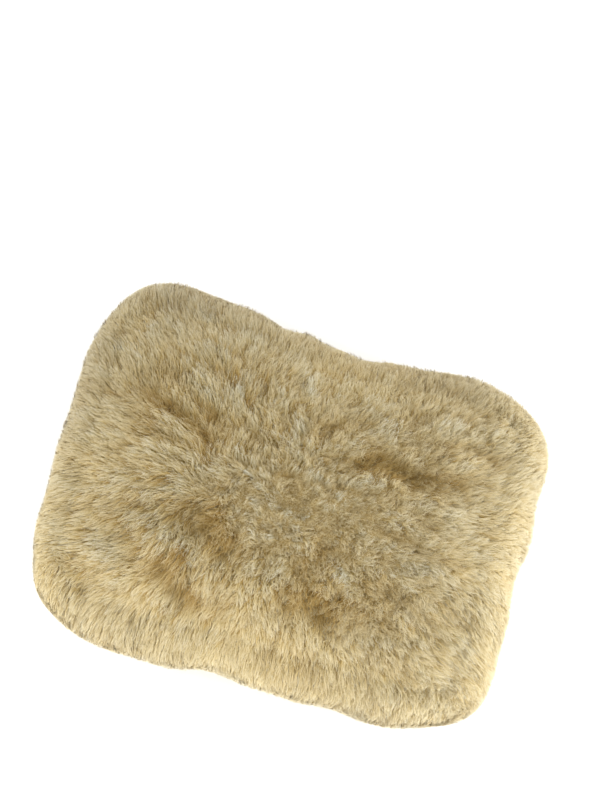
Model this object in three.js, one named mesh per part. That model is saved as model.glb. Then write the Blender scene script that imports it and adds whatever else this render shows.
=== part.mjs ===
// Two-sided sheepskin wash mitt, lying flat, with its knitted cuff turned in. Millimetres.
// +X runs along the mitt to its open mouth, +Y across it and +Z up.
// The origin is the middle of the flat underside of the wool.
import * as THREE from 'three';
import { mergeVertices } from 'three/addons/utils/BufferGeometryUtils.js';

// hides: two tanned panels, sewn to each other on three sides
const hideLength = 224;
const hideWidth = 160;
const hideCorner = 20;
const hideThickness = 1.6;
const seamHeight = 31; // side seam above the table
const seamGap = 0.5; // between the two hides at the seam
const backRise = 12; // how far the back hide bows up over the pocket
const palmRise = 10; // how far the palm hide bows down
const bowPower = 4; // a higher power gives a flatter pocket with steeper sides

// wool: it grows out of the hides and overhangs them all round
const woolDepth = 24; // on the back, from hide to tips
const woolOverhang = 21; // tips beyond the hide's edge
const woolCorner = 45;
const woolGap = 0.3; // wool to hide, and half the parting between the two piles
const woolShrink = 3; // how much shallower the pile is at the hide's edge
const backRim = 9; // depth of the back wool at its outer rim
const palmLift = 11; // height of the palm wool's outer rim above the table

// seam thread: an overcast cord just outside the edges of the hides
const seamThreadRadius = 0.7;
const seamThreadOffset = 1.9; // from the hide's edge to the middle of the thread
const seamEnd = 0.9; // the seam stops this share of the way to the mouth

// knitted cuff: a ribbed sleeve sewn round the mouth, with an elastic hem at its free end
const mouthMargin = 18; // from the hide's side to the side of the cuff at the mouth
const hemWidth = 92; // flat width of the cuff at its hem
const sleeveLength = 39.5;
const sleeveWall = 1.8;
const sleeveSetback = 0.5; // sewn edge of the sleeve, in from the hide's end
const cuffClearance = 2; // between the cuff and the hides
const pieceGap = 0.3;
const hemDepth = 11.7;
const hemPly = 0.9;
const elasticWidth = 8.8;
const elasticThickness = 0.7;
const threadRadius = 0.35;
const cuffSeamInset = 3; // cuff seam, in from the sleeve's sewn edge
const hemStitchInset = 1.7; // hem stitch, in from the hem's open end

// care label: a blank tape held in the side seam, inside the pocket
const labelLength = 32;
const labelReach = 20;
const labelThickness = 0.4;
const labelInset = 3.5; // from the hide's edge
const labelStart = 10; // near end of the label, towards the mouth from the middle
const labelLift = 0.15; // above the seam

const hideCells = 14; // grid cells along and across a hide
const overhangCells = 2; // rings of cells in the wool beyond the hide's edge
const seamCells = 68; // cells along the side seam's thread
const threadSides = 6;
const cuffCells = 32; // cells round the cuff
const sleeveCells = 4; // cells along the sleeve

const mouthX = hideLength / 2;
const sleeveMouthX = mouthX - sleeveSetback;
const sleeveHemX = sleeveMouthX - sleeveLength;
const hemOpenX = sleeveHemX - pieceGap;
const hemFoldX = hemOpenX - hemDepth;

function material(colour, roughness) {
  return new THREE.MeshStandardMaterial({ color: colour, roughness, metalness: 0 });
}

const wool = material('#b7a378', 0.95);
const hide = material('#d9c7a4', 0.85);
const thread = material('#e8e0cc', 0.7);
const ribKnit = material('#cdbf9c', 0.9);
const elastic = material('#f0ede4', 0.6);
const labelTape = material('#f4f1ea', 0.8);

function namedMesh(name, geometry, pieceMaterial) {
  const mesh = new THREE.Mesh(geometry, pieceMaterial);
  mesh.name = name;
  return mesh;
}

function welded(geometry) {
  geometry.deleteAttribute('normal');
  geometry.deleteAttribute('uv');
  return mergeVertices(geometry);
}

// u and v run from -1 to 1 over a rectangle whose corners are rounded
function roundedRectanglePoint(u, v, halfLength, halfWidth, corner) {
  const x = Math.abs(u) * halfLength;
  const y = Math.abs(v) * halfWidth;
  const pastX = Math.max(0, x - halfLength + corner) / corner;
  const pastY = Math.max(0, y - halfWidth + corner) / corner;
  const roundedX = Math.min(x, halfLength - corner) + corner * pastX * Math.sqrt(1 - pastY ** 2 / 2);
  const roundedY = Math.min(y, halfWidth - corner) + corner * pastY * Math.sqrt(1 - pastX ** 2 / 2);
  return new THREE.Vector2(Math.sign(u) * roundedX, Math.sign(v) * roundedY);
}

// share of the full bow at a point of the hide: none at the three sewn sides, full at the mouth
function bowShare(u, v) {
  const lengthwise = 1 - Math.max(0, -u) ** bowPower;
  const crosswise = 1 - Math.abs(v) ** bowPower;
  return lengthwise * crosswise;
}

// where a grid point lies in plan, and how far out it is over the overhang, from 0 to 1
function planPoint(gridU, gridV, cells) {
  const ring = Math.max(Math.abs(gridU), Math.abs(gridV)) * cells / hideCells;
  const reach = Math.max(1, ring);
  const u = gridU * cells / hideCells / reach;
  const v = gridV * cells / hideCells / reach;
  const rings = (cells - hideCells) / 2;
  const overhang = rings > 0 ? Math.min(1, (reach - 1) * hideCells / 2 / rings) : 0;
  const halfLength = hideLength / 2 + woolOverhang * overhang;
  const halfWidth = hideWidth / 2 + woolOverhang * overhang;
  const corner = THREE.MathUtils.lerp(hideCorner, woolCorner, overhang);
  const plan = roundedRectanglePoint(u, v, halfLength, halfWidth, corner);
  return { plan, u, v, ring: Math.min(1, ring), overhang };
}

// A closed sheet made of a flat box of cells. Its upper and lower faces split their cells
// along the same diagonal, so that sheets that lie on each other keep their gap.
function shapedSheet(cells, upperHeight, lowerHeight) {
  const box = new THREE.BoxGeometry(2, 2, 2, cells, cells, 1);
  const index = box.index;
  const lowerFace = box.groups[5];
  for (let i = lowerFace.start; i < lowerFace.start + lowerFace.count; i += 6) {
    index.setX(i + 2, index.getX(i + 4));
    index.setX(i + 3, index.getX(i));
  }
  const position = box.attributes.position;
  for (let i = 0; i < position.count; i++) {
    const place = planPoint(position.getX(i), position.getY(i), cells);
    const height = position.getZ(i) > 0 ? upperHeight(place) : lowerHeight(place);
    position.setXYZ(i, place.plan.x, place.plan.y, height);
  }
  return welded(box);
}

// distance of a pile's inner face from the bowed seam surface: it rests on the hide's outer
// face, and past the hide's edge it closes to the parting between the two piles
function pileStart(place) {
  const onHide = seamGap / 2 + hideThickness + woolGap;
  const closing = Math.min(1, place.overhang * overhangCells);
  return THREE.MathUtils.lerp(onHide, woolGap, closing);
}

function makeBackHide() {
  const inner = (place) => seamHeight + seamGap / 2 + backRise * bowShare(place.u, place.v);
  const outer = (place) => inner(place) + hideThickness;
  return namedMesh('back_hide', shapedSheet(hideCells, outer, inner), hide);
}

function makePalmHide() {
  const inner = (place) => seamHeight - seamGap / 2 - palmRise * bowShare(place.u, place.v);
  const outer = (place) => inner(place) - hideThickness;
  return namedMesh('palm_hide', shapedSheet(hideCells, inner, outer), hide);
}

function makeBackWool() {
  const inner = (place) => seamHeight + pileStart(place) + backRise * bowShare(place.u, place.v);
  const depth = (place) => {
    const full = woolDepth - woolShrink * place.ring ** bowPower;
    return backRim + (full - backRim) * Math.sqrt(1 - place.overhang ** 2);
  };
  const outer = (place) => inner(place) + depth(place);
  const cells = hideCells + 2 * overhangCells;
  return namedMesh('back_wool_pile', shapedSheet(cells, outer, inner), wool);
}

function makePalmWool() {
  const inner = (place) => seamHeight - pileStart(place) - palmRise * bowShare(place.u, place.v);
  const outer = (place) => palmLift * (1 - Math.sqrt(1 - place.overhang ** 2));
  const cells = hideCells + 2 * overhangCells;
  return namedMesh('palm_wool_pile', shapedSheet(cells, inner, outer), wool);
}

function circleShape(radius, sides) {
  const shape = new THREE.Shape();
  for (let i = 0; i < sides; i++) {
    const angle = 2 * Math.PI * i / sides;
    if (i === 0) shape.moveTo(radius, 0);
    else shape.lineTo(radius * Math.cos(angle), radius * Math.sin(angle));
  }
  shape.closePath();
  return shape;
}

// the seam runs from the mouth down one side, round the closed end and back up the other side
function makeSideSeam() {
  const path = [];
  const addPoint = (u, v) => {
    const point = roundedRectanglePoint(u, v, hideLength / 2 + seamThreadOffset,
      hideWidth / 2 + seamThreadOffset, hideCorner + seamThreadOffset);
    path.push(new THREE.Vector3(point.x, point.y, seamHeight));
  };
  const sidePoints = seamCells / 2; // enough that the path keeps to the rounded corners
  for (let i = 0; i < sidePoints; i++) addPoint(THREE.MathUtils.lerp(seamEnd, -1, i / sidePoints), 1);
  for (let i = 0; i < sidePoints; i++) addPoint(-1, THREE.MathUtils.lerp(1, -1, i / sidePoints));
  for (let i = 0; i <= sidePoints; i++) addPoint(THREE.MathUtils.lerp(-1, seamEnd, i / sidePoints), -1);
  const geometry = new THREE.ExtrudeGeometry(circleShape(seamThreadRadius, threadSides), {
    steps: seamCells,
    bevelEnabled: false,
    extrudePath: new THREE.CatmullRomCurve3(path),
  });
  return namedMesh('side_seam_thread', welded(geometry), thread);
}

// the cuff's outline at a place along X: as tall as the pocket is at the outline's own sides
function cuffOutline(x) {
  const share = THREE.MathUtils.smoothstep(x, sleeveHemX, sleeveMouthX);
  const halfWidth = THREE.MathUtils.lerp(hemWidth / 2, hideWidth / 2 - mouthMargin, share);
  const bow = bowShare(1, halfWidth / (hideWidth / 2));
  const top = seamGap / 2 + backRise * bow - cuffClearance;
  const bottom = -seamGap / 2 - palmRise * bow + cuffClearance;
  const halfHeight = (top - bottom) / 2;
  const flat = halfWidth - halfHeight;
  const outline = new THREE.Path();
  outline.absarc(flat, 0, halfHeight, -Math.PI / 2, Math.PI / 2);
  outline.absarc(-flat, 0, halfHeight, Math.PI / 2, 3 * Math.PI / 2);
  outline.closePath();
  return { outline, centre: seamHeight + (top + bottom) / 2 };
}

// A closed band round the cuff. Each point of its profile is a place along X and a distance
// out from the cuff's outline: a lathe turns the profile, and its rings are laid on the outline.
function cuffBand(profile) {
  const turningRadius = 50;
  const points = profile.map(([x, out]) => new THREE.Vector2(turningRadius + out, x));
  points.push(points[0]);
  const lathe = new THREE.LatheGeometry(points, cuffCells);
  const position = lathe.attributes.position;
  for (let i = 0; i < position.count; i++) {
    const out = Math.hypot(position.getX(i), position.getZ(i)) - turningRadius;
    const angle = Math.atan2(position.getX(i), position.getZ(i));
    const share = (angle / (2 * Math.PI) + 1) % 1;
    const x = position.getY(i);
    const { outline, centre } = cuffOutline(x);
    const point = outline.getPoint(share);
    const tangent = outline.getTangent(share);
    position.setXYZ(i, x, point.x + out * tangent.y, centre + point.y - out * tangent.x);
  }
  return welded(lathe);
}

function makeSleeve() {
  const profile = [];
  for (let i = 0; i <= sleeveCells; i++) {
    profile.push([THREE.MathUtils.lerp(sleeveHemX, sleeveMouthX, i / sleeveCells), 0]);
  }
  for (let i = sleeveCells; i >= 0; i--) {
    profile.push([THREE.MathUtils.lerp(sleeveHemX, sleeveMouthX, i / sleeveCells), -sleeveWall]);
  }
  return namedMesh('cuff_rib_sleeve', cuffBand(profile), ribKnit);
}

// the hem is the knit folded back on itself, open towards the sleeve, with the elastic inside
function makeHem() {
  const tunnel = elasticThickness + 2 * pieceGap;
  const innerPly = hemPly + tunnel;
  const total = innerPly + hemPly;
  const profile = [
    [hemFoldX, 0],
    [hemOpenX, 0],
    [hemOpenX, -hemPly],
    [hemFoldX + hemPly, -hemPly],
    [hemFoldX + hemPly, -innerPly],
    [hemOpenX, -innerPly],
    [hemOpenX, -total],
    [hemFoldX, -total],
  ];
  return namedMesh('cuff_hem', cuffBand(profile), ribKnit);
}

function makeElastic() {
  const nearX = hemFoldX + hemPly + pieceGap;
  const farX = nearX + elasticWidth;
  const outside = -hemPly - pieceGap;
  const inside = outside - elasticThickness;
  const profile = [[nearX, outside], [farX, outside], [farX, inside], [nearX, inside]];
  return namedMesh('cuff_elastic', cuffBand(profile), elastic);
}

function makeThreadRing(name, x) {
  const profile = [];
  for (let i = 0; i < threadSides; i++) {
    const angle = -2 * Math.PI * i / threadSides;
    const out = pieceGap + threadRadius + threadRadius * Math.sin(angle);
    profile.push([x + threadRadius * Math.cos(angle), out]);
  }
  return namedMesh(name, cuffBand(profile), thread);
}

function makeCareLabel() {
  const tape = new THREE.BoxGeometry(labelLength, labelReach, labelThickness);
  const mesh = namedMesh('care_label', welded(tape), labelTape);
  const y = -hideWidth / 2 + labelInset + labelReach / 2;
  mesh.position.set(labelStart + labelLength / 2, y, seamHeight + labelLift);
  return mesh;
}

const cuffEnd = new THREE.Group();
cuffEnd.add(
  makeHem(),
  makeElastic(),
  makeThreadRing('cuff_hem_stitch', hemOpenX - hemStitchInset),
);

const mitt = new THREE.Group();
mitt.add(
  makeBackWool(),
  makeBackHide(),
  makePalmHide(),
  makePalmWool(),
  makeSideSeam(),
  makeSleeve(),
  makeThreadRing('cuff_seam_thread', sleeveMouthX - cuffSeamInset),
  makeCareLabel(),
  cuffEnd,
);

export default mitt;
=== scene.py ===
# Sheepskin wash mitt: wool, hides, seams and turned-in knitted cuff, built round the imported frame
import math

import bpy
import numpy as np
from mathutils import Matrix, Vector


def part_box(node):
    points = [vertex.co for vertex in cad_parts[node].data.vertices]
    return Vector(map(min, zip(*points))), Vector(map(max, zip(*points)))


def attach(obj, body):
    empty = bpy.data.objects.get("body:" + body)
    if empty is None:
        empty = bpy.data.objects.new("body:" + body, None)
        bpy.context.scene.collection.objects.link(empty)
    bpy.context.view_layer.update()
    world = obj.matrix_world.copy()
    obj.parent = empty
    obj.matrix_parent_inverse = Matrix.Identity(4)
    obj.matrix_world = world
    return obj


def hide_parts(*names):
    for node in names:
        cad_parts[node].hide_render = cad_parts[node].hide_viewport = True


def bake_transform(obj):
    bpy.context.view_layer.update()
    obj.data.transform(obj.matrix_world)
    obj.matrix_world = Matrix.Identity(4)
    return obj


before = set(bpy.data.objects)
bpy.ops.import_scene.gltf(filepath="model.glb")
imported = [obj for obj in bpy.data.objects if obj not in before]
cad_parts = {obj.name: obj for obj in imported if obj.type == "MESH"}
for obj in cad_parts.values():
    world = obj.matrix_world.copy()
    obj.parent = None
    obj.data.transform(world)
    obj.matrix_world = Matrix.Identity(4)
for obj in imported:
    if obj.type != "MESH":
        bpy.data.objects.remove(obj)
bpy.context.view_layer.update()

mm = 0.001
backHideLow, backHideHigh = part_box("back_hide")
palmHideLow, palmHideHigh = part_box("palm_hide")
seamHeight = (backHideLow.z + palmHideHigh.z) / 2
hideHalfLength = backHideHigh.x
hideHalfWidth = backHideHigh.y


def srgb(text):
    # hex colour as a paint chart gives it, turned to the linear values that nodes take
    parts = [int(text[i:i + 2], 16) / 255 for i in (1, 3, 5)]
    linear = [c / 12.92 if c <= 0.04045 else ((c + 0.055) / 1.055) ** 2.4 for c in parts]
    return (*linear, 1)


def addNode(material, kind, settings=None, links=None, values=None):
    # one node with its settings, its socket values and what feeds it
    node = material.node_tree.nodes.new(kind)
    for name, value in (settings or {}).items():
        setattr(node, name, value)
    for socket, value in (values or {}).items():
        node.inputs[socket].default_value = value
    for socket, source in (links or {}).items():
        material.node_tree.links.new(source, node.inputs[socket])
    return node


def newMaterial(name):
    material = bpy.data.materials.new(name)
    material.use_nodes = True
    material.node_tree.nodes.clear()
    return material


def setRamp(node, stops):
    ramp = node.color_ramp
    while len(ramp.elements) < len(stops):
        ramp.elements.new(0.5)
    for element, (place, colour) in zip(ramp.elements, stops):
        element.position = place
        element.color = srgb(colour)


def meshObject(name, points, faces, uv=None):
    # for wool, which no primitive starts: faces are arrays of corner numbers, one array for each kind of face
    mesh = bpy.data.meshes.new(name)
    corners = np.concatenate([f.ravel() for f in faces]).astype(np.int32)
    sizes = np.concatenate([np.full(len(f), f.shape[1]) for f in faces])
    starts = np.concatenate([[0], np.cumsum(sizes)[:-1]]).astype(np.int32)
    mesh.vertices.add(len(points))
    mesh.vertices.foreach_set("co", points.astype(np.float32).ravel())
    mesh.loops.add(len(corners))
    mesh.loops.foreach_set("vertex_index", corners)
    mesh.polygons.add(len(sizes))
    mesh.polygons.foreach_set("loop_start", starts)
    mesh.polygons.foreach_set("use_smooth", np.ones(len(sizes), bool))
    if uv is not None:
        layer = mesh.uv_layers.new(name="OFBake")
        layer.data.foreach_set("uv", uv[corners].astype(np.float32).ravel())
    mesh.update(calc_edges=True)
    piece = bpy.data.objects.new(name, mesh)
    bpy.context.collection.objects.link(piece)
    return piece


hidePanel = {
    "thickness": 1.6 * mm,
    "corner": 20 * mm,
    "seamGap": 0.25 * mm,  # from the seam's height to the hide
    "bowPower": 4,  # a higher power gives a flatter pocket with steeper sides
    "cells": (72, 52),
    "ripple": 0.15 * mm,
    "rippleLength": 28 * mm,
}

# the wool's form is a flat map, wrapped over the hides and round the rim
pileForm = {
    "edge": 0.74,  # share of the map that lies over the hide, the rest wraps the rim
    "rootEdge": 0.86,  # share of the hide whose wool stands on top, the rest roots the rim
    "overhang": 19.9 * mm,
    "hideCorner": 24 * mm,
    "rimCorner": 50 * mm,
    "topDepth": 23 * mm,  # wool over the middle of the back
    "edgeDepth": 19 * mm,
    "mouthLip": 5 * mm,  # how far the two piles stand apart at the mouth
    "lumps": 1.8 * mm,
    "lumpLength": 46 * mm,
    "strokeLumps": 1.5 * mm,
    "strokeLength": 12 * mm,
    # partings in the wool: middle x and y, half length, half width in mm, direction in degrees, depth in mm
    "folds": [
        (60, 28, 30, 5, 3, 8.5),
        (-73, 28, 32, 7, -3, 3.8),
        (-32, -34, 19, 11, -8, 4),
        (-37, -67, 20, 7, -9, 3.5),
        (36, -57, 26, 9, 12, 4.5),
        (27, -29, 15, 6, 104, 3.2),
        (92, 50, 16, 5, 14, 2.5),
        # broad shallow hollows along the upper and lower sides; their depth also darkens the wool's colour
        # there, as painted shade, the upper one for the side turned from the lamps
        (48, 92, 60, 20, 0, 1.0),
        (30, -88, 40, 12, 4, 1.2),
    ],
    # where the soft outline swells or draws in: direction and half width in degrees, push in mm
    "swells": [(135, 20, 7), (82, 24, -7), (206, 13, -5), (240, 12, 5), (330, 9, 3), (28, 9, 3)],
    "scallops": 1.3,  # finer waves of the outline, in mm
}
mapLength = hideHalfLength / pileForm["edge"]
mapWidth = hideHalfWidth / pileForm["edge"]


def waves(x, y, wavelength, seed):
    # smooth pseudo-random hills, about -1 to 1, from a few crossed sine waves
    rng = np.random.default_rng(seed)
    total = np.zeros_like(x)
    for _ in range(7):
        angle = rng.uniform(0, 2 * math.pi)
        size = wavelength * rng.uniform(0.7, 1.5)
        phase = rng.uniform(0, 2 * math.pi)
        total += np.sin((x * math.cos(angle) + y * math.sin(angle)) * 2 * math.pi / size + phase)
    return total / 3.2


def unit(vectors):
    return vectors / (np.linalg.norm(vectors, axis=-1, keepdims=True) + 1e-12)


def alongStrokes(x, y):
    # plan coordinates drawn in towards the middle, so that hills laid on them stretch along the strokes
    out = np.maximum(np.hypot(x, y), 0.1 * mm)
    drawn = (30 * mm + 0.35 * out) * np.clip(out / (30 * mm), 0, 1) / out
    return x * drawn, y * drawn


def foldDepth(x, y):
    # how deep the partings between the locks are at a place, in metres
    total = np.zeros_like(x)
    for middleX, middleY, halfLength, halfWidth, direction, deep in pileForm["folds"]:
        angle = math.radians(direction)
        along = (x - middleX * mm) * math.cos(angle) + (y - middleY * mm) * math.sin(angle)
        across = (y - middleY * mm) * math.cos(angle) - (x - middleX * mm) * math.sin(angle)
        across = across + 3 * mm * np.sin(along / (9 * mm))
        total += deep * mm * np.exp(-(along / (halfLength * mm)) ** 2 - (across / (halfWidth * mm)) ** 2)
    return total


def roundedPlan(u, v, halfLength, halfWidth, corner):
    x = np.abs(u) * halfLength
    y = np.abs(v) * halfWidth
    pastX = np.maximum(0, x - halfLength + corner) / corner
    pastY = np.maximum(0, y - halfWidth + corner) / corner
    drawX = np.sqrt(1 - np.minimum(pastY, 1) ** 2 / 2)
    drawY = np.sqrt(1 - np.minimum(pastX, 1) ** 2 / 2)
    roundX = np.minimum(x, halfLength - corner) + corner * pastX * drawX
    roundY = np.minimum(y, halfWidth - corner) + corner * pastY * drawY
    return np.sign(u) * roundX, np.sign(v) * roundY


def bow(u, v):
    # none at the three sewn sides, full at the mouth
    along = 1 - np.clip(-u, 0, 1) ** hidePanel["bowPower"]
    across = 1 - np.clip(np.abs(v), 0, 1) ** hidePanel["bowPower"]
    return along * across


def hideSurface(u, v, side, lift=0.0):
    # outer face of a hide, u and v from -1 to 1; side is 1 for the back and -1 for the palm
    x, y = roundedPlan(u, v, hideHalfLength, hideHalfWidth, hidePanel["corner"])
    rise = (backHideHigh.z - backHideLow.z) if side > 0 else (palmHideHigh.z - palmHideLow.z)
    flat = hidePanel["seamGap"] + hidePanel["thickness"]
    up = flat + (rise - hidePanel["thickness"]) * bow(u, v) + lift
    return np.stack([x, y, seamHeight + side * up], -1)


def ringOf(mapX, mapY):
    # 0 in the middle of the map and 1 at its rim, with the place on the rim that lies further out
    u = mapX / mapLength
    v = mapY / mapWidth
    ring = np.maximum(np.maximum(np.abs(u), np.abs(v)), 1e-6)
    return ring, u / ring, v / ring


def woolRoot(mapX, mapY, side):
    ring, edgeU, edgeV = ringOf(mapX, mapY)
    edge = pileForm["edge"]
    inner = ring / edge * pileForm["rootEdge"]
    outer = pileForm["rootEdge"] + (ring - edge) / (1 - edge) * (1 - pileForm["rootEdge"])
    share = np.clip(np.where(ring < edge, inner, outer), 0, 1)
    return hideSurface(edgeU * share, edgeV * share, side)


def outlineGrowth(x, y, ring):
    # the soft outline's swells and scallops, none in the middle
    direction = np.degrees(np.arctan2(y, x))
    push = np.zeros_like(x)
    for towards, wide, size in pileForm["swells"]:
        push = push + size * np.exp(-((direction - towards + 180) % 360 - 180) ** 2 / wide ** 2)
    roundX = np.cos(np.radians(direction)) * 90 * mm
    roundY = np.sin(np.radians(direction)) * 90 * mm
    push = push + pileForm["scallops"] * waves(roundX, roundY, 24 * mm, 14)
    return push * mm * np.clip(ring - 0.3, 0, 0.6) / 0.6 / np.maximum(np.hypot(x, y), 20 * mm)


def woolTop(mapX, mapY, side):
    form = pileForm
    ring, edgeU, edgeV = ringOf(mapX, mapY)
    flat = np.clip(ring / form["edge"], 0, 1)
    turn = np.clip((ring - form["edge"]) / (1 - form["edge"]), 0, 1.25) * math.pi / 2
    out = np.sin(turn)
    u, v = edgeU * flat, edgeV * flat
    corner = form["hideCorner"] + (form["rimCorner"] - form["hideCorner"]) * np.clip(out, 0, 1)
    overhang = form["overhang"] * out
    x, y = roundedPlan(u, v, hideHalfLength + overhang, hideHalfWidth + overhang, corner)
    grow = outlineGrowth(x, y, ring)
    x, y = x * (1 + grow), y * (1 + grow)
    mouthLip = np.where(turn > 0, bow(edgeU, edgeV), 0) * np.sin(np.clip(turn, 0, math.pi / 2))
    foot = form["mouthLip"] * mouthLip
    if side > 0:
        depth = form["edgeDepth"] + (form["topDepth"] - form["edgeDepth"]) * (1 - flat ** 3)
        rise = (backHideHigh.z - backHideLow.z - hidePanel["thickness"]) * bow(u, v)
        top = hidePanel["seamGap"] + hidePanel["thickness"] + rise + depth
    else:
        top = np.full_like(x, seamHeight)
    z = foot + (top - foot) * np.cos(turn)
    strokeX, strokeY = alongStrokes(mapX, mapY)
    lumps = form["lumps"] * waves(mapX, mapY, form["lumpLength"], 11)
    lumps = lumps + form["strokeLumps"] * waves(strokeX, strokeY, form["strokeLength"], 12)
    lumps = (lumps * (1 - 0.75 * np.clip((ring - 0.5) / 0.25, 0, 1)) - foldDepth(mapX, mapY)) * (side > 0)
    return np.stack([x, y, seamHeight + side * (z + lumps * np.cos(turn).clip(0))], -1)


def woolPoint(mapX, mapY, depth, side):
    # depth 0 is the outside of the pile and 1 is the hide
    top = woolTop(mapX, mapY, side)
    root = woolRoot(mapX, mapY, side)
    return top + (root - top) * depth[..., None]


view = {"azimuth": 17, "elevation": 78, "distance": 0.738, "lens": 60, "up": 0.0578, "right": 0.0076}
turn = math.radians(view["azimuth"])
tilt = math.radians(view["elevation"])
towardsCamera = Vector((math.sin(turn) * math.cos(tilt), -math.cos(turn) * math.cos(tilt), math.sin(tilt)))
imageRight = Vector((math.cos(turn), math.sin(turn), 0))
imageUp = towardsCamera.cross(imageRight)
middle = Vector((0, 0, seamHeight))

camera = bpy.data.objects.new("camera", bpy.data.cameras.new("camera"))
bpy.context.collection.objects.link(camera)
bpy.context.scene.camera = camera
camera.data.lens = view["lens"]
camera.data.sensor_width = 36
camera.location = middle + towardsCamera * view["distance"]
aim = middle + imageUp * view["up"] + imageRight * view["right"]
# the camera is held level, so that its right side stays parallel to the floor
forward = (aim - camera.location).normalized()
right = (imageRight - forward * imageRight.dot(forward)).normalized()
camera.rotation_mode = "QUATERNION"
camera.rotation_quaternion = Matrix((right, right.cross(forward), -forward)).transposed().to_quaternion()

studio = {"floor": 6, "sky": 1.38, "window": 13, "fill": 18, "lampSize": 0.8}

bpy.ops.mesh.primitive_plane_add(size=studio["floor"], location=(0, 0, -0.0005))
floor = bpy.context.active_object
floor.name = "floor"
# seamless background paper: matt white, which throws the light softly back up
floorPaper = newMaterial("whitePaperFloor")
shader = addNode(floorPaper, "ShaderNodeBsdfPrincipled",
                 values={"Base Color": srgb("#fbfbfa"), "Roughness": 0.9})
addNode(floorPaper, "ShaderNodeOutputMaterial", links={"Surface": shader.outputs[0]})
floor.data.materials.append(floorPaper)

world = bpy.data.worlds.new("softSky")
bpy.context.scene.world = world
world.use_nodes = True
world.node_tree.nodes["Background"].inputs[0].default_value = srgb("#ffffff")
world.node_tree.nodes["Background"].inputs[1].default_value = studio["sky"]
bpy.context.scene.view_settings.view_transform = "Standard"


def areaLight(name, offset, power):
    light = bpy.data.objects.new(name, bpy.data.lights.new(name, "AREA"))
    light.data.shape = "DISK"
    light.data.size = studio["lampSize"]
    light.data.energy = power
    light.location = middle + offset
    light.rotation_mode = "QUATERNION"
    light.rotation_quaternion = (-offset).to_track_quat("-Z", "Y")
    bpy.context.collection.objects.link(light)


areaLight("windowLight", imageRight * 1.05 - imageUp * 0.5 + Vector((0, 0, 0.25)), studio["window"])
areaLight("fillLight", -imageRight * 0.85 - imageUp * 0.95 + Vector((0, 0, 0.2)), studio["fill"])
print("camera, floor and lights set")

woolComb = {
    "seed": 7,
    "backStrands": 106000,
    "palmStrands": 32000,
    "backParts": 8,  # pieces that the strands are shared between, from the fingertips to the mouth
    "palmParts": 2,
    "backRows": 8,  # points along a strand
    "palmRows": 6,
    "length": 11.5 * mm,
    "width": 0.29 * mm,
    "pileDepth": 24 * mm,
    "lowest": 0.4 * mm,  # nothing goes nearer the table than this
    "lean": 66,  # degrees from upright, and what the rim, the curly part and the middle add to it
    "rimLean": 10,
    "curlyLean": -26,
    "middleLean": -36,
    "stray": 0.15,  # share of strands that lie across the others
    "lockSpacing": 8.5 * mm,
    "tuftSpacing": 3.0 * mm,
    "lockPull": 0.1,  # how far a tip gathers into its lock and its tuft
    "tuftPull": 0.32,
    "lockSink": 0.16,  # how much lower the outer strands of a lock and of a tuft end
    "tuftSink": 0.05,
    "crimpLength": 4.2 * mm,
    "crimp": 0.5 * mm,
    "spine": 44 * mm,  # the comb's strokes start from a line this long to each side of the middle
    "spineY": -4 * mm,
    "paleness": 0.44,
}


def cellCentres(mapX, mapY, spacing, seed):
    # nearest centre of a jittered grid, with random numbers that belong to that centre
    cellX = np.floor(mapX / spacing).astype(int)
    cellY = np.floor(mapY / spacing).astype(int)
    table = np.random.default_rng(seed).random((6, 256, 256))
    best = np.full(mapX.shape, 1e9)
    second = np.full(mapX.shape, 1e9)
    centreX, centreY = mapX.copy(), mapY.copy()
    own = np.zeros((4, *mapX.shape))
    for stepX in (-1, 0, 1):
        for stepY in (-1, 0, 1):
            i, j = cellX + stepX, cellY + stepY
            values = table[:, i % 256, j % 256]
            x = (i + 0.15 + 0.7 * values[0]) * spacing
            y = (j + 0.15 + 0.7 * values[1]) * spacing
            distance = np.hypot(x - mapX, y - mapY)
            nearer = distance < best
            second = np.where(nearer, best, np.minimum(second, distance))
            best = np.where(nearer, distance, best)
            centreX = np.where(nearer, x, centreX)
            centreY = np.where(nearer, y, centreY)
            own = np.where(nearer, values[2:], own)
    return centreX, centreY, best / spacing, (second - best) / spacing, own


def spreadTips(side, count, seed, rng):
    # tips are spread evenly over the outside of the pile
    tries = int(count * (3.2 if side > 0 else 5))
    mapX = rng.uniform(-1, 1, tries) * mapLength * 1.1
    mapY = rng.uniform(-1, 1, tries) * mapWidth * 1.1
    step = 0.5 * mm
    here = woolTop(mapX, mapY, side)
    alongX = woolTop(mapX + step, mapY, side) - here
    alongY = woolTop(mapX, mapY + step, side) - here
    area = np.linalg.norm(np.cross(alongX, alongY), axis=-1)
    ring, edgeU, edgeV = ringOf(mapX, mapY)
    # the palm's wool is worn thin in the middle and full at the rim
    fullness = 1 if side > 0 else 0.45 + 0.55 * np.clip((ring - 0.5) / 0.35, 0, 1)
    keep = rng.random(tries) < np.clip(area / np.percentile(area, 97), 0.05, 1) * fullness
    # the two piles mingle along the sewn sides and stay apart at the mouth
    mingle = 0.035 + 0.04 * waves(mapX, mapY, 26 * mm, seed + 11) + 0.03 * rng.random(tries)
    keep &= ring < 1.01 + mingle * (1 - bow(edgeU, edgeV))
    return mapX[keep][:count], mapY[keep][:count]


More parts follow.
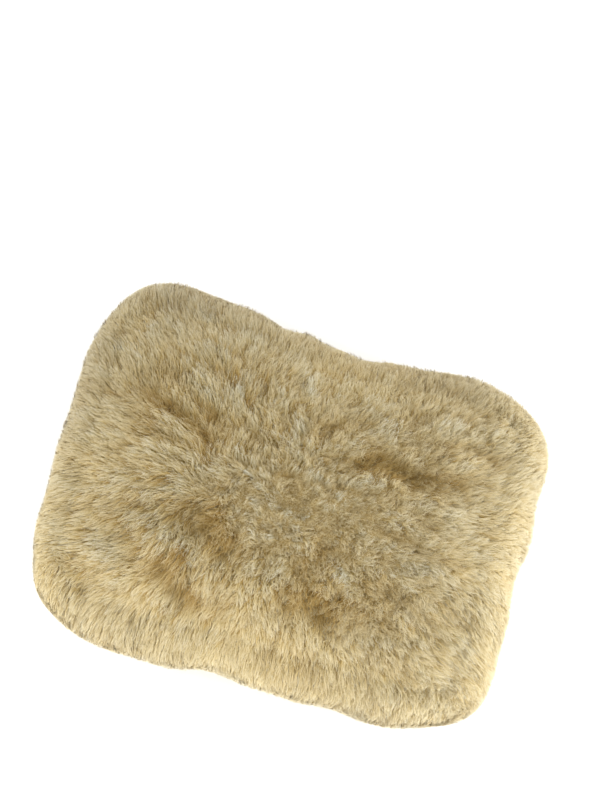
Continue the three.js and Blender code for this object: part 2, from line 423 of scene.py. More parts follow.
def combWool(side, count, seed):
    comb = woolComb
    rng = np.random.default_rng(seed)
    mapX, mapY = spreadTips(side, count, seed, rng)
    count = len(mapX)
    ring, _, _ = ringOf(mapX, mapY)
    outward = np.clip((ring - 0.45) / 0.4, 0, 1)  # 1 at the rim, where the wool lies calmer
    calm = 1 - 0.5 * outward

    # the comb's strokes run out from near the middle, bending from lock to lock
    offX = mapX - comb["spine"] * np.tanh(mapX / comb["spine"] * 0.8)
    offY = mapY - comb["spineY"] - 6 * mm * waves(mapX, mapY, 60 * mm, seed + 6)
    settled = np.clip(np.hypot(offX, offY) / (45 * mm), 0.1, 1)
    wanderX = mapX + 2 * mm * waves(mapX, mapY, 20 * mm, seed + 3)
    wanderY = mapY + 2 * mm * waves(mapX, mapY, 20 * mm, seed + 4)
    lockX, lockY, _, lockEdge, lock = cellCentres(wanderX, wanderY, comb["lockSpacing"], seed + 1)
    tuftX, tuftY, _, tuftEdge, tuft = cellCentres(mapX, mapY, comb["tuftSpacing"], seed + 2)
    # wool is laid flat towards the fingertips and stands curlier towards the mouth
    curly = np.clip(0.5 + (mapX - 10 * mm) / (120 * mm), 0, 1) * (1 - outward * 0.8) * (side > 0)
    angle = np.arctan2(offY, offX) + 0.5 * waves(mapX, mapY, 60 * mm, seed + 5) * (1 - 0.6 * outward)
    angle = angle + 1.8 * waves(mapX, mapY, 30 * mm, seed + 7) * (1 - settled)
    angle = angle + (lock[0] - 0.5) * (0.5 + 1.4 * curly + 0.8 * (1 - settled)) * calm
    angle = angle + (tuft[0] - 0.5) * (0.4 + 1.4 * curly) * calm
    stray = rng.random(count) < comb["stray"] * (1 + 0.6 * curly - 0.85 * outward)
    angle = angle + rng.normal(0, 0.16, count) * calm
    angle = angle + rng.normal(0, 0.9, count) * stray * calm
    directionX, directionY = np.cos(angle), np.sin(angle)
    lean = comb["lean"] + comb["rimLean"] * outward + comb["curlyLean"] * curly
    lean = np.radians(lean + comb["middleLean"] * (1 - settled) ** 2)
    lean = lean + ((lock[1] - 0.5) * 0.35 + rng.normal(0, 0.1, count)) * (1 - 0.7 * outward)

    length = comb["length"] * (0.85 + 0.3 * lock[2] + 0.15 * outward) * rng.uniform(0.75, 1.1, count)
    tuftPull = np.where(stray, 0, comb["tuftPull"] - 0.27 * outward)
    tipX = mapX + (tuftX - mapX) * tuftPull + (lockX - mapX) * comb["lockPull"]
    tipY = mapY + (tuftY - mapY) * tuftPull + (lockY - mapY) * comb["lockPull"]
    # a lock is a rounded bundle: its outer strands end lower, so that a parting shows between locks
    sink = comb["lockSink"] * np.clip(1 - lockEdge / 0.3, 0, 1) ** 1.5
    sink = sink + comb["tuftSink"] * np.clip(1 - tuftEdge / 0.3, 0, 1)
    sink = sink * (0.6 + 0.3 * curly - 0.5 * outward)
    sink = sink + rng.normal(0, 0.018, count) * (1 - 0.7 * outward) - 0.02
    sink = sink + 0.05 * (lock[3] - 0.5) * (1 - 0.8 * outward) - 0.03 * stray

    rows = comb["backRows"] if side > 0 else comb["palmRows"]
    s = np.linspace(0, 1, rows)[None, :] ** 0.85
    back = 1 - s  # 1 at the buried end, 0 at the tip
    reach = (length * np.sin(lean))[:, None]
    drop = (length * np.cos(lean))[:, None] / comb["pileDepth"]
    # the buried end stays near the strand's own place, and only the tip gathers into its tuft
    gather = s ** 1.6
    x = mapX[:, None] + (tipX - mapX)[:, None] * gather - directionX[:, None] * reach * back ** 1.15
    y = mapY[:, None] + (tipY - mapY)[:, None] * gather - directionY[:, None] * reach * back ** 1.15
    depth = sink[:, None] + drop * back ** 0.9
    # crimp runs in step along a tuft
    phase = 2 * math.pi * (tuft[1][:, None] + length[:, None] * s / comb["crimpLength"])
    phase = phase + rng.normal(0, 0.35, count)[:, None]
    swing = comb["crimp"] * (1 if side > 0 else 0.4) * (0.7 + 1.4 * curly + 0.5 * tuft[2] + 0.6 * stray)
    swing = swing[:, None] * (0.35 + 0.65 * back)
    x = x - directionY[:, None] * swing * np.sin(phase)
    y = y + directionX[:, None] * swing * np.sin(phase)
    depth = depth + swing * 0.8 / comb["pileDepth"] * np.cos(phase)
    points = woolPoint(x, y, np.clip(depth, -0.12, 0.97), side)
    points[..., 2] = np.maximum(points[..., 2], comb["lowest"])

    # a strand is a ribbon, turned a little about its own length
    along = unit(np.gradient(points, axis=1))
    facing = unit(woolTop(mapX, mapY, side) - woolRoot(mapX, mapY, side))
    across = unit(np.cross(along, facing[:, None, :]))
    roll = rng.normal(0, 0.55, count)[:, None, None]
    across = across * np.cos(roll) + np.cross(along, across) * np.sin(roll)
    taper = np.interp(s[0], [0, 0.25, 0.7, 1], [0.8, 1, 0.75, 0.12])
    thickness = rng.uniform(0.6, 1.4, count) * (1 - 0.3 * stray)
    half = comb["width"] / 2 * taper[None, :, None] * thickness[:, None, None]

    # how pale each strand is: by lock, by tuft and by cloudy hills, with painted shade in the partings and
    # painted light on the rim
    strokeX, strokeY = alongStrokes(mapX, mapY)
    shade = 0.2 * (lock[3] - 0.5) + 0.12 * (tuft[3] - 0.5)
    # strands at the edges of a lock are coloured darker: painted shade in the partings between locks
    shade = shade + 0.1 * np.clip(lockEdge / 0.3, 0, 1) - 0.03 * curly
    shade = shade + 0.1 * waves(mapX, mapY, 34 * mm, seed + 8)
    shade = shade + 0.16 * waves(strokeX, strokeY, pileForm["strokeLength"], 12)
    shade = comb["paleness"] + shade * (1 - 0.8 * outward) + 0.2 * stray
    shade = shade + rng.normal(0, 0.07, count) * (1 - 0.7 * outward)
    # paler towards the rim, more so on the palm: painted light for the lit rim, which on the palm also lifts
    # the rim out of its shade near the floor
    shade = shade + (0.08 if side > 0 else 0.2) * outward
    # darker in step with the depth of the folds: painted shade in the partings
    shade = shade - 0.13 * foldDepth(mapX, mapY) / mm * (side > 0)

    # each strand is lit mostly as the pile it lies in, and its crimp catches the light in bands
    facing[:, 2] *= 1 - 0.7 * outward * (side < 0)
    bands = (0.3 + 0.35 * curly - 0.25 * outward)[:, None] * np.sin(phase)
    ownShare = (0.26 - 0.17 * outward)[:, None, None]
    normals = (1 - ownShare) * facing[:, None, :] + ownShare * np.cross(across, along)
    normals = unit(normals + bands[..., None] * along)
    return points - across * half, points + across * half, normals, np.clip(shade, 0.03, 0.97), mapX


def strandPiece(name, left, right, normals, shade):
    # ribbons that end in a point: rows of two corners, then one tip
    count, rows, _ = left.shape
    body = np.stack([left[:, :-1], right[:, :-1]], 2).reshape(count, -1, 3)
    tip = ((left[:, -1:] + right[:, -1:]) / 2)
    points = np.concatenate([body, tip], 1)
    start = np.arange(count)[:, None] * points.shape[1]
    quads = []
    for row in range(rows - 2):
        a = start + 2 * row
        quads.append(np.concatenate([a, a + 1, a + 3, a + 2], 1))
    a = start + 2 * (rows - 2)
    tips = np.concatenate([a, a + 1, a + 2], 1)
    along = np.concatenate([np.repeat(np.linspace(0, 1, rows)[:-1], 2), [1]])
    sway = np.concatenate([np.tile([-1, 1], rows - 1), [0]]) * 0.004
    uv = np.stack([np.tile(along[None], (count, 1)) * 0.98 + 0.01, shade[:, None] + sway[None]], -1)
    faces = [np.concatenate(quads), tips]
    piece = meshObject(name, points.reshape(-1, 3), faces, uv.reshape(-1, 2))
    soft = np.concatenate([np.repeat(normals[:, :-1], 2, axis=1), normals[:, -1:]], 1)
    piece.data.normals_split_custom_set_from_vertices(soft.reshape(-1, 3).tolist())
    return piece


def makeWoolFibre():
    # crimped lambswool: tan at the root where lanolin stays, cream at the tips where it is washed
    material = newMaterial("creamLambswoolFibre")
    uv = addNode(material, "ShaderNodeUVMap", settings={"uv_map": "OFBake"})
    split = addNode(material, "ShaderNodeSeparateXYZ", links={0: uv.outputs[0]})
    along = addNode(material, "ShaderNodeValToRGB", links={0: split.outputs[0]})
    setRamp(along, [(0.0, "#a0844a"), (0.35, "#c5b078"), (0.7, "#e0d5b2"), (1.0, "#efedde")])
    # the tint follows each strand's shade value, which carries painted shade in the partings and painted
    # light on the rim
    tint = addNode(material, "ShaderNodeValToRGB", links={0: split.outputs[1]})
    setRamp(tint, [(0.0, "#bba26c"), (0.5, "#ece2ca"), (1.0, "#eef4fc")])
    mix = addNode(material, "ShaderNodeMix", settings={"data_type": "RGBA", "blend_type": "MULTIPLY"},
                  values={0: 1.0}, links={6: along.outputs[0], 7: tint.outputs[0]})
    shader = addNode(material, "ShaderNodeBsdfPrincipled", links={"Base Color": mix.outputs[2]},
                     values={"Roughness": 0.75, "Specular IOR Level": 0.25,
                             "Sheen Weight": 0.12, "Sheen Roughness": 0.5})
    addNode(material, "ShaderNodeOutputMaterial", links={"Surface": shader.outputs[0]})
    return material


undercoat = {
    "cells": (124, 92),
    "depth": 0.17,  # share of the pile that stands clear of it, and how much less at the rim
    "rimDepth": 0.08,
    "tuftHollow": 0.1,
    "lumps": 0.04,
}


def makeUndercoat(name, side, material, node):
    # the dense wool under the tips, as a closed body between the hide and the combed layer
    columns, rows = undercoat["cells"]
    lineX = np.linspace(-1, 1, columns + 1) * mapLength
    lineY = np.linspace(-1, 1, rows + 1) * mapWidth
    gridX, gridY = np.meshgrid(lineX, lineY, indexing="ij")
    tuft = cellCentres(gridX, gridY, woolComb["tuftSpacing"] * 1.3, 91 + side)
    rimShare = np.clip((ringOf(gridX, gridY)[0] - 0.45) / 0.4, 0, 1)
    hollow = undercoat["tuftHollow"] * np.clip(tuft[2], 0, 1)
    hollow = hollow + undercoat["lumps"] * waves(gridX, gridY, 9 * mm, 5)
    depth = undercoat["depth"] - undercoat["rimDepth"] * rimShare + (1 - 0.85 * rimShare) * hollow
    outer = woolPoint(gridX, gridY, depth, side)
    outer[..., 2] = np.maximum(outer[..., 2], woolComb["lowest"])
    inner = woolPoint(gridX, gridY, np.full_like(gridX, 0.985), side)
    points = np.concatenate([outer.reshape(-1, 3), inner.reshape(-1, 3)])
    index = np.arange(gridX.size).reshape(gridX.shape)
    quads = np.stack([index[:-1, :-1], index[1:, :-1], index[1:, 1:], index[:-1, 1:]], -1).reshape(-1, 4)
    under = quads[:, ::-1] + index.size
    rim = np.concatenate([index[:-1, 0], index[-1, :-1], index[:0:-1, -1], index[0, :0:-1]])
    following = np.roll(rim, -1)
    wall = np.stack([following, rim, rim + index.size, following + index.size], -1)
    faces = np.concatenate([quads, under, wall])
    if side < 0:
        faces = faces[:, ::-1]
    piece = meshObject(name, points, [faces])
    # the rim's share, which the undercoat's material uses for painted light that makes it paler towards the
    # rim
    pale = piece.data.attributes.new("rimPaintedLight", "FLOAT", "POINT")
    pale.data.foreach_set("value", np.tile(rimShare.ravel(), 2).astype(np.float32))
    piece.data.materials.append(material)
    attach(piece, "mitt")
    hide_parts(node)


def makeUndercoatWool():
    # matted lambswool under the tips: a tan felt of fibres about 0.5 mm apart, without shine
    material = newMaterial("denseUndercoatWool")
    place = addNode(material, "ShaderNodeTexCoord")
    noise = addNode(material, "ShaderNodeTexNoise", links={"Vector": place.outputs["Object"]},
                    values={"Scale": 900, "Detail": 5, "Roughness": 0.65, "Distortion": 1.2})
    ramp = addNode(material, "ShaderNodeValToRGB", links={0: noise.outputs[0]})
    setRamp(ramp, [(0.32, "#98804c"), (0.5, "#b69f6c"), (0.68, "#d4c496")])
    bump = addNode(material, "ShaderNodeBump", links={"Height": noise.outputs[0]},
                   values={"Strength": 0.8, "Distance": 0.0012})
    # paler towards the rim: painted light, so that the undercoat between the rim's strands reads as pale as
    # the lit rim instead of showing the shade it lies in
    rim = addNode(material, "ShaderNodeAttribute", settings={"attribute_name": "rimPaintedLight"})
    share = addNode(material, "ShaderNodeMath", settings={"operation": "MULTIPLY"},
                    links={0: rim.outputs["Fac"]}, values={1: 0.85})
    paintedRimLight = addNode(material, "ShaderNodeMix", settings={"data_type": "RGBA"},
                     values={7: srgb("#ece2c0")}, links={0: share.outputs[0], 6: ramp.outputs[0]})
    shader = addNode(material, "ShaderNodeBsdfPrincipled",
                     links={"Base Color": paintedRimLight.outputs[2], "Normal": bump.outputs[0]},
                     values={"Roughness": 0.95, "Specular IOR Level": 0.15})
    addNode(material, "ShaderNodeOutputMaterial", links={"Surface": shader.outputs[0]})
    return material


woolFibre = makeWoolFibre()
undercoatWool = makeUndercoatWool()
makeUndercoat("back_undercoat", 1, undercoatWool, "back_wool_pile")
makeUndercoat("palm_undercoat", -1, undercoatWool, "palm_wool_pile")
for label, side in (("back", 1), ("palm", -1)):
    seed = woolComb["seed"] + 20 + 10 * side
    left, right, normals, shade, place = combWool(side, woolComb[label + "Strands"], seed)
    for part, chosen in enumerate(np.array_split(np.argsort(place), woolComb[label + "Parts"])):
        name = f"{label}_wool_{part + 1}"
        piece = strandPiece(name, left[chosen], right[chosen], normals[chosen], shade[chosen])
        piece.data.materials.append(woolFibre)
        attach(piece, "mitt")
    print(label, "wool combed:", len(shade), "strands")


def freshMesh(addPrimitive, name, **settings):
    # adds a primitive with nothing else selected
    if bpy.context.mode != "OBJECT":
        bpy.ops.object.mode_set(mode="OBJECT")
    bpy.ops.object.select_all(action="DESELECT")
    addPrimitive(**settings)
    piece = bpy.context.active_object
    piece.name = name
    return piece


def movePoints(piece, points):
    piece.data.vertices.foreach_set("co", np.asarray(points, np.float32).ravel())
    piece.data.update()


def readPoints(piece):
    points = np.empty(len(piece.data.vertices) * 3, np.float32)
    piece.data.vertices.foreach_get("co", points)
    return points.reshape(-1, 3).astype(float)


def thicken(piece, thickness):
    wall = piece.modifiers.new("wall", "SOLIDIFY")
    wall.thickness = thickness
    wall.offset = -1
    wall.use_even_offset = True
    bpy.ops.object.modifier_apply(modifier="wall")


def finishPiece(piece, material, slot, body, *nodes):
    piece.data.materials.clear()
    piece.data.materials.append(material)
    bpy.ops.object.shade_smooth_by_angle(angle=math.radians(50))
    if body:
        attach(piece, body)
    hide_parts(*nodes)


def makeSuede():
    # chrome-free tanned sheepskin, flesh side buffed: a matt cream nap with cloudy tone and no shine
    material = newMaterial("buffedSuedeHide")
    place = addNode(material, "ShaderNodeTexCoord")
    clouds = addNode(material, "ShaderNodeTexNoise", links={"Vector": place.outputs["Object"]},
                     values={"Scale": 45, "Detail": 3})
    nap = addNode(material, "ShaderNodeTexNoise", links={"Vector": place.outputs["Object"]},
                  values={"Scale": 1400, "Detail": 2})
    tone = addNode(material, "ShaderNodeValToRGB", links={0: clouds.outputs[0]})
    setRamp(tone, [(0.3, "#c9b48c"), (0.7, "#dccaa6")])
    bump = addNode(material, "ShaderNodeBump", links={"Height": nap.outputs[0]},
                   values={"Strength": 0.5, "Distance": 0.0003})
    shader = addNode(material, "ShaderNodeBsdfPrincipled",
                     links={"Base Color": tone.outputs[0], "Normal": bump.outputs[0]},
                     values={"Roughness": 0.95, "Specular IOR Level": 0.2, "Sheen Weight": 0.3})
    addNode(material, "ShaderNodeOutputMaterial", links={"Surface": shader.outputs[0]})
    return material


def makeHide(name, side, material):
    columns, rows = hidePanel["cells"]
    panel = freshMesh(bpy.ops.mesh.primitive_grid_add, name,
                      x_subdivisions=columns, y_subdivisions=rows, size=2)
    flat = readPoints(panel)
    u, v = flat[:, 0], flat[:, 1]
    ripple = waves(u * hideHalfLength, v * hideHalfWidth, hidePanel["rippleLength"], 31)
    ripple = hidePanel["ripple"] * ripple * bow(u, v)
    movePoints(panel, hideSurface(u, v, side, lift=ripple))
    if side < 0:
        bpy.ops.object.mode_set(mode="EDIT")
        bpy.ops.mesh.select_all(action="SELECT")
        bpy.ops.mesh.flip_normals()
        bpy.ops.object.mode_set(mode="OBJECT")
    thicken(panel, hidePanel["thickness"])
    finishPiece(panel, material, "hide", "mitt", name.replace("_panel", ""))


suede = makeSuede()
makeHide("back_hide_panel", 1, suede)
makeHide("palm_hide_panel", -1, suede)


def makeThreadMaterial():
    # bonded polyester sewing thread: smooth, slightly glossy plies, undyed
    material = newMaterial("undyedPolyesterThread")
    place = addNode(material, "ShaderNodeTexCoord")
    plies = addNode(material, "ShaderNodeTexNoise", links={"Vector": place.outputs["Object"]},
                    values={"Scale": 2200, "Detail": 1})
    tone = addNode(material, "ShaderNodeValToRGB", links={0: plies.outputs[0]})
    setRamp(tone, [(0.35, "#d8ccb0"), (0.65, "#efe7d4")])
    shader = addNode(material, "ShaderNodeBsdfPrincipled", links={"Base Color": tone.outputs[0]},
                     values={"Roughness": 0.55, "Sheen Weight": 0.1})
    addNode(material, "ShaderNodeOutputMaterial", links={"Surface": shader.outputs[0]})
    return material


def sewThread(name, paths, radius, closed=False):
    # a bevelled curve for each run of thread, made a mesh
    curve = bpy.data.curves.new(name, "CURVE")
    curve.dimensions = "3D"
    curve.bevel_depth = radius
    curve.bevel_resolution = 1
    curve.use_fill_caps = not closed
    for path in paths:
        spline = curve.splines.new("POLY")
        spline.points.add(len(path) - 1)
        spline.points.foreach_set("co", np.column_stack([path, np.ones(len(path))]).ravel())
        spline.use_cyclic_u = closed
    thread = bpy.data.objects.new(name, curve)
    bpy.context.collection.objects.link(thread)
    bpy.ops.object.select_all(action="DESELECT")
    thread.select_set(True)
    bpy.context.view_layer.objects.active = thread
    bpy.ops.object.convert(target="MESH")
    return bpy.context.active_object


sideSeam = {
    "radius": 0.33 * mm,
    "plyOffset": 0.34 * mm,  # from the middle of the thread to the middle of a ply
    "twist": 4.4 * mm,  # length of one turn of the plies
    "offset": 1.9 * mm,  # out from the hide's edge
    "mouthEnd": 0.9,  # share of the way to the mouth at which the seam stops
    "points": 1500,
}


def makeSideSeam(material):
    # two plies of thread twisted round each other, just outside the edges of the hides
    end = sideSeam["mouthEnd"]
    steps = 400
    u = np.concatenate([np.linspace(end, -1, steps), np.full(steps, -1.0), np.linspace(-1, end, steps)])
    v = np.concatenate([np.full(steps, 1.0), np.linspace(1, -1, steps), np.full(steps, -1.0)])
    grow = sideSeam["offset"]
    x, y = roundedPlan(u, v, hideHalfLength + grow, hideHalfWidth + grow, hidePanel["corner"] + grow)
    run = np.concatenate([[0], np.cumsum(np.hypot(np.diff(x), np.diff(y)))])
    kept = np.concatenate([[True], np.diff(run) > 0.01 * mm])
    places = np.linspace(0, run[-1], sideSeam["points"])
    x = np.interp(places, run[kept], x[kept])
    y = np.interp(places, run[kept], y[kept])
    tangent = np.stack([np.gradient(x), np.gradient(y)], 1)
    tangent /= np.linalg.norm(tangent, axis=1)[:, None]
    paths = []
    for ply in (0, math.pi):
        swing = 2 * math.pi * places / sideSeam["twist"] + ply
        aside = sideSeam["plyOffset"] * np.cos(swing)
        path = np.stack([x - tangent[:, 1] * aside, y + tangent[:, 0] * aside,
                         seamHeight + sideSeam["plyOffset"] * np.sin(swing)], 1)
        paths.append(path)
    seam = sewThread("side_seam_stitching", paths, sideSeam["radius"])
    finishPiece(seam, material, "thread", "mitt", "side_seam_thread")
    print("side seam sewn,", round(run[-1] * 1000), "mm of thread")


threadMaterial = makeThreadMaterial()
makeSideSeam(threadMaterial)


sleeveLow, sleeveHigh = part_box("cuff_rib_sleeve")
hemLow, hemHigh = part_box("cuff_hem")
cuffKnit = {
    "ribs": 44,  # pairs of raised and sunken ribs round the cuff
    "pointsPerRib": 12,
    "ribHeight": 0.5 * mm,
    "waleGroove": 0.16 * mm,
    "wall": 1.8 * mm,
    "rows": 26,  # rings of points along the sleeve
    "slack": 0.35 * mm,  # soft unevenness of the knit
    "edgeRound": 0.25 * mm,  # how far the knit thins at its edges
    "edgeFade": 3 * mm,
    "insideRib": 0.6,  # share of the ribs that shows on the inside
    "hemWall": 0.9 * mm,
    "hemRise": 0.22 * mm,
    "hemTunnel": 1.3 * mm,  # room for the elastic
    "backRise": 12 * mm,  # the hides' bows, and how far the cuff stays inside them
    "palmRise": 10 * mm,
    "clearance": 2 * mm,
}


def cuffPoint(x, share, out):
    # a point of the cuff: place along X, share of the way round, and distance out from its outline
    step = np.clip((x - sleeveLow.x) / (sleeveHigh.x - sleeveLow.x), 0, 1)
    halfWidth = hemHigh.y + (sleeveHigh.y - hemHigh.y) * (3 * step ** 2 - 2 * step ** 3)
    bowed = 1 - (halfWidth / hideHalfWidth) ** 4
    top = hidePanel["seamGap"] + cuffKnit["backRise"] * bowed - cuffKnit["clearance"]
    bottom = -hidePanel["seamGap"] - cuffKnit["palmRise"] * bowed + cuffKnit["clearance"]
    half = (top - bottom) / 2
    flat = halfWidth - half
    arc = math.pi * half
    run = share * (4 * flat + 2 * arc)
    legs = [run < arc, run < arc + 2 * flat, run < 2 * arc + 2 * flat]
    angle = np.select(legs, [run / half - math.pi / 2, math.pi / 2 + 0 * run,
                             (run - arc - 2 * flat) / half + math.pi / 2], 1.5 * math.pi)
    middleY = np.select(legs, [flat, flat - (run - arc), -flat + 0 * run], run - 2 * arc - 3 * flat)
    y = middleY + (half + out) * np.cos(angle)
    z = (half + out) * np.sin(angle)
    return np.stack([x, y, seamHeight + (top + bottom) / 2 + z], -1)


def ribRise(share):
    # -1 to 1: raised and sunken ribs, each with a shallow groove between its two wales
    turn = 2 * math.pi * cuffKnit["ribs"] * share
    return np.tanh(2.4 * np.sin(turn)), np.abs(np.cos(turn)) ** 0.7


def makeBand(name, profile, around):
    # profile rows are place along X, distance out, share of the rib's rise, share of the slack
    # a grid is rolled up along both its sides and its meeting edges are merged
    profile = np.array(profile)
    band = freshMesh(bpy.ops.mesh.primitive_grid_add, name,
                     x_subdivisions=around, y_subdivisions=len(profile), size=2)
    grid = readPoints(band)
    share = np.round((grid[:, 0] + 1) / 2 * around) % around / around
    number = np.round((grid[:, 1] + 1) / 2 * len(profile)).astype(int) % len(profile)
    x, out, rise, slack = profile[number].T
    rib, wale = ribRise(share)
    sag = cuffKnit["slack"] * waves(x, share * 0.24, 30 * mm, 41) * slack
    out = out + rise * (cuffKnit["ribHeight"] / 2 * rib - cuffKnit["waleGroove"] * (1 - wale)) + sag
    movePoints(band, cuffPoint(x, share, out))
    bpy.ops.object.mode_set(mode="EDIT")
    bpy.ops.mesh.select_all(action="SELECT")
    bpy.ops.mesh.remove_doubles(threshold=0.000001)
    bpy.ops.mesh.normals_make_consistent(inside=False)
    bpy.ops.object.mode_set(mode="OBJECT")
    return band


def makeRibKnit():
    # 2x2 rib in cotton and elastane: soft matt cream ribs with a course every 1.5 mm and a fuzzy sheen
    material = newMaterial("creamRibKnit")
    place = addNode(material, "ShaderNodeTexCoord")
    courses = addNode(material, "ShaderNodeTexWave",
                      settings={"bands_direction": "X", "wave_profile": "SIN"},
                      links={"Vector": place.outputs["Object"]},
                      values={"Scale": 210, "Distortion": 1.5, "Detail": 1, "Detail Scale": 3})
    fuzz = addNode(material, "ShaderNodeTexNoise", links={"Vector": place.outputs["Object"]},
                   values={"Scale": 1500, "Detail": 3})
    mix = addNode(material, "ShaderNodeMix", settings={"data_type": "FLOAT"}, values={0: 0.35},
                  links={2: courses.outputs["Fac"], 3: fuzz.outputs[0]})
    tone = addNode(material, "ShaderNodeValToRGB", links={0: mix.outputs[0]})
    setRamp(tone, [(0.2, "#b3a079"), (0.75, "#d6c7a1")])
    bump = addNode(material, "ShaderNodeBump", links={"Height": mix.outputs[0]},
                   values={"Strength": 0.7, "Distance": 0.0004})
    shader = addNode(material, "ShaderNodeBsdfPrincipled",
                     links={"Base Color": tone.outputs[0], "Normal": bump.outputs[0]},
                     values={"Roughness": 0.9, "Specular IOR Level": 0.2, "Sheen Weight": 0.3})
    addNode(material, "ShaderNodeOutputMaterial", links={"Surface": shader.outputs[0]})
    return material


def makeElasticMaterial():
    # braided elastic: white polyester over rubber cores, with fine ribs and a faint satin shine
    material = newMaterial("braidedElastic")
    place = addNode(material, "ShaderNodeTexCoord")
    braid = addNode(material, "ShaderNodeTexWave", settings={"bands_direction": "DIAGONAL"},
                    links={"Vector": place.outputs["Object"]}, values={"Scale": 300, "Distortion": 1})
    tone = addNode(material, "ShaderNodeValToRGB", links={0: braid.outputs["Fac"]})
    setRamp(tone, [(0.2, "#d9d5ca"), (0.7, "#f2efe7")])
    bump = addNode(material, "ShaderNodeBump", links={"Height": braid.outputs["Fac"]},
                   values={"Strength": 0.4, "Distance": 0.0002})
    shader = addNode(material, "ShaderNodeBsdfPrincipled",
                     links={"Base Color": tone.outputs[0], "Normal": bump.outputs[0]},
                     values={"Roughness": 0.6, "Sheen Weight": 0.15})
    addNode(material, "ShaderNodeOutputMaterial", links={"Surface": shader.outputs[0]})
    return material


def makeSleeve(material):
    edgeRound = cuffKnit["edgeRound"]
    profile = []
    for x in np.linspace(sleeveLow.x, sleeveHigh.x, cuffKnit["rows"]):
        fade = min(1, (x - sleeveLow.x) / cuffKnit["edgeFade"], (sleeveHigh.x - x) / cuffKnit["edgeFade"])
        profile.append((x, -edgeRound * (1 - fade), 1, fade))
    for x, _, _, fade in profile[::-1]:
        profile.append((x, -cuffKnit["wall"] + edgeRound * (1 - fade), cuffKnit["insideRib"], fade))
    sleeve = makeBand("cuff_sleeve_knit", profile, cuffKnit["ribs"] * cuffKnit["pointsPerRib"])
    finishPiece(sleeve, material, "rib_knit", None, "cuff_rib_sleeve")
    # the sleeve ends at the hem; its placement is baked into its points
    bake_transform(sleeve)


def makeHem(material):
    # one band of knit folded back on itself round the elastic, with its open side to the sleeve
    wall, tunnel, edgeRound = cuffKnit["hemWall"], cuffKnit["hemTunnel"], cuffKnit["edgeRound"]
    fold = wall + tunnel / 2
    foldX = hemLow.x + fold
    rise = cuffKnit["hemRise"] / (cuffKnit["ribHeight"] / 2)
    flats = np.linspace(hemHigh.x, foldX, 9)
    bends = np.linspace(0, math.pi, 9)[1:-1]
    outside = [(x, -edgeRound, rise, 0) for x in flats]
    for a in bends:
        out = -fold + (fold - edgeRound) * math.cos(a)
        outside.append((foldX - fold * math.sin(a), out, rise * math.cos(a), 0))
    outside += [(x, -2 * fold + edgeRound, -rise, 0) for x in flats[::-1]]
    inside = [(x, -2 * fold + wall, 0, 0) for x in flats]
    inside += [(foldX - tunnel / 2 * math.sin(a), -fold - tunnel / 2 * math.cos(a), 0, 0) for a in bends]
    inside += [(x, -wall, 0, 0) for x in flats[::-1]]
    hem = makeBand("cuff_hem_knit", outside + inside, cuffKnit["ribs"] * cuffKnit["pointsPerRib"])
    finishPiece(hem, material, "rib_knit", "cuff_end", "cuff_hem")


elasticBand = {
    "cords": 9,  # cords of braid side by side
    "rowsPerCord": 4,
    "around": 240,
    "outside": -1.25 * mm,
    "inside": -1.85 * mm,
    "cordHeight": 0.05 * mm,
}


def makeElastic(material):
    low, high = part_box("cuff_elastic")
    perCord = elasticBand["rowsPerCord"]
    rows = elasticBand["cords"] * perCord + 1
    swell = elasticBand["cordHeight"] * np.cos(2 * math.pi * np.arange(rows) / perCord)
    profile = []
    for x, rise in zip(np.linspace(low.x, high.x, rows), swell):
        profile.append((x, elasticBand["outside"] + rise, 0, 0))
    for x, rise in zip(np.linspace(high.x, low.x, rows), swell):
        profile.append((x, elasticBand["inside"] - rise, 0, 0))
    elastic = makeBand("cuff_elastic_band", profile, elasticBand["around"])
    finishPiece(elastic, material, "elastic", "cuff_end", "cuff_elastic")


cuffStitch = {
    "radius": 0.26 * mm,
    "length": 3.1 * mm,
    "gap": 1.1 * mm,
    "hemRound": 200 * mm,  # length of the hem's seam
    "hemProud": 0.62 * mm,  # height of a stitch over the knit, and how far its ends dip in
    "hemDip": 0.28 * mm,
    "zigzag": 1.0 * mm,
    "zigzags": 84,
    "seamProud": 0.66 * mm,
    "seamDip": 0.12 * mm,
}


def makeHemStitch(material):
    # straight stitches through both plies of the hem, each dipping into the knit at its ends
    low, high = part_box("cuff_hem_stitch")
    x = np.full(7, (low.x + high.x) / 2)
    around = cuffStitch["hemRound"]
    count = round(around / (cuffStitch["length"] + cuffStitch["gap"]))
    part = np.linspace(0, cuffStitch["length"] / around, len(x))
    height = cuffStitch["hemProud"] - cuffStitch["hemDip"] * np.linspace(-1, 1, len(x)) ** 4
    paths = [cuffPoint(x, (part + k / count) % 1, height) for k in range(count)]
    stitches = sewThread("cuff_hem_stitching", paths, cuffStitch["radius"])
    finishPiece(stitches, material, "thread", "cuff_end", "cuff_hem_stitch")
    print("hem sewn with", count, "stitches")


def makeCuffSeam(material):
    # zigzag seam that holds the sleeve to the hides at the mouth
    low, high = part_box("cuff_seam_thread")
    count = cuffStitch["zigzags"] * 2
    number = np.arange(count * 4)
    sway = 2 * np.abs((number / 8) % 1 * 2 - 1) - 1
    x = (low.x + high.x) / 2 + cuffStitch["zigzag"] * sway
    height = cuffStitch["seamProud"] - cuffStitch["seamDip"] * np.abs(sway)
    path = cuffPoint(x, number / len(number), height)
    seam = sewThread("cuff_seam_stitching", [path], cuffStitch["radius"], closed=True)
    finishPiece(seam, material, "thread", None, "cuff_seam_thread")
    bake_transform(seam)


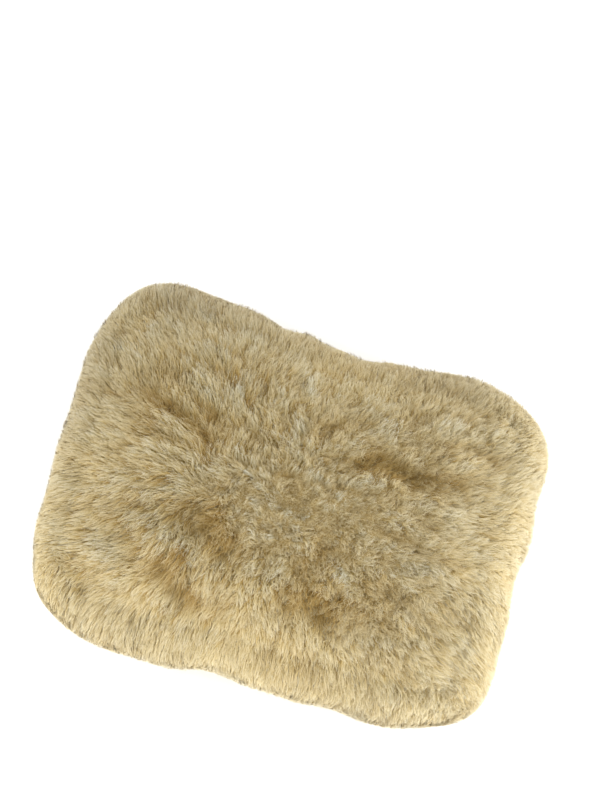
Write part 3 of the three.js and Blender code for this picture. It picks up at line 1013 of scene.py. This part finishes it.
ribKnit = makeRibKnit()
makeSleeve(ribKnit)
makeHem(ribKnit)
makeElastic(makeElasticMaterial())
makeHemStitch(threadMaterial)
makeCuffSeam(threadMaterial)
print("cuff knitted and sewn")


careLabel = {
    "cells": (32, 20),
    "thickness": 0.3 * mm,
    "lift": 0.3 * mm,  # above the seam
    "droop": 0.9 * mm,
    "curl": 0.35 * mm,
}


def makeLabelTape():
    # woven satin label tape, left blank: white, flat, with a fine thread every 0.5 mm and a soft shine
    material = newMaterial("blankSatinTape")
    place = addNode(material, "ShaderNodeTexCoord")
    weft = addNode(material, "ShaderNodeTexWave", settings={"bands_direction": "Y"},
                   links={"Vector": place.outputs["Object"]}, values={"Scale": 630})
    tone = addNode(material, "ShaderNodeValToRGB", links={0: weft.outputs["Fac"]})
    setRamp(tone, [(0.0, "#e6e2d8"), (1.0, "#f7f5ef")])
    bump = addNode(material, "ShaderNodeBump", links={"Height": weft.outputs["Fac"]},
                   values={"Strength": 0.3, "Distance": 0.0001})
    shader = addNode(material, "ShaderNodeBsdfPrincipled",
                     links={"Base Color": tone.outputs[0], "Normal": bump.outputs[0]},
                     values={"Roughness": 0.45, "Sheen Weight": 0.1})
    addNode(material, "ShaderNodeOutputMaterial", links={"Surface": shader.outputs[0]})
    return material


def makeCareLabel(material):
    low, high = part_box("care_label")
    columns, rows = careLabel["cells"]
    label = freshMesh(bpy.ops.mesh.primitive_grid_add, "care_label_tape", x_subdivisions=columns,
                      y_subdivisions=rows, size=2)
    flat = readPoints(label)
    x = low.x + (flat[:, 0] + 1) / 2 * (high.x - low.x)
    y = low.y + (flat[:, 1] + 1) / 2 * (high.y - low.y)
    free = (flat[:, 1] + 1) / 2
    curl = careLabel["curl"] * np.sin(flat[:, 0] * 3) * free
    z = seamHeight + careLabel["lift"] - careLabel["droop"] * free ** 1.5 + curl
    movePoints(label, np.stack([x, y, z], 1))
    thicken(label, careLabel["thickness"])
    finishPiece(label, material, "label_tape", "mitt", "care_label")


makeCareLabel(makeLabelTape())
print("care label sewn in")
